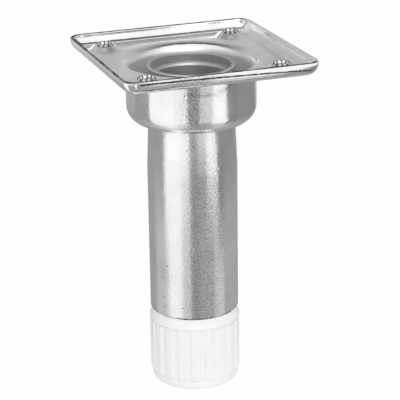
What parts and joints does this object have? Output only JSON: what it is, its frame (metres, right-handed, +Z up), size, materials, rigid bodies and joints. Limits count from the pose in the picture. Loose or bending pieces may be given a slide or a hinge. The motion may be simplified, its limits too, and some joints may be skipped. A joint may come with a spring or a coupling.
{
  "type": "cabinet leg",
  "caption": "Zinc-plated steel cabinet leg with a square deep-drawn mounting plate, round tube and screw-adjustable white plastic foot.",
  "frame": {"origin": "centre of the foot's underside, on the floor, on the tube's axis, with the foot screwed in", "axes": "+Z up along the tube, +X and +Y along the plate's sides"},
  "size_m": [0.0864, 0.0864, 0.155],
  "materials": {
    "zinc_steel": "bright zinc plating with a fine spangle",
    "white_plastic": "satin injection moulding"
  },
  "bodies": {
    "leg": {"mounting_plate": "zinc_steel", "leg_tube": "zinc_steel", "head_sleeve": "zinc_steel", "end_plate": "zinc_steel", "weld_nut": "zinc_steel"},
    "adjuster": {"adjuster_screw": "zinc_steel", "foot": "white_plastic"}
  },
  "joints": [
    {"name": "foot_height", "type": "slide", "parent": "leg", "child": "adjuster", "axis": [0, 0, -1], "range_m": [0, 0.025]}
  ]
}
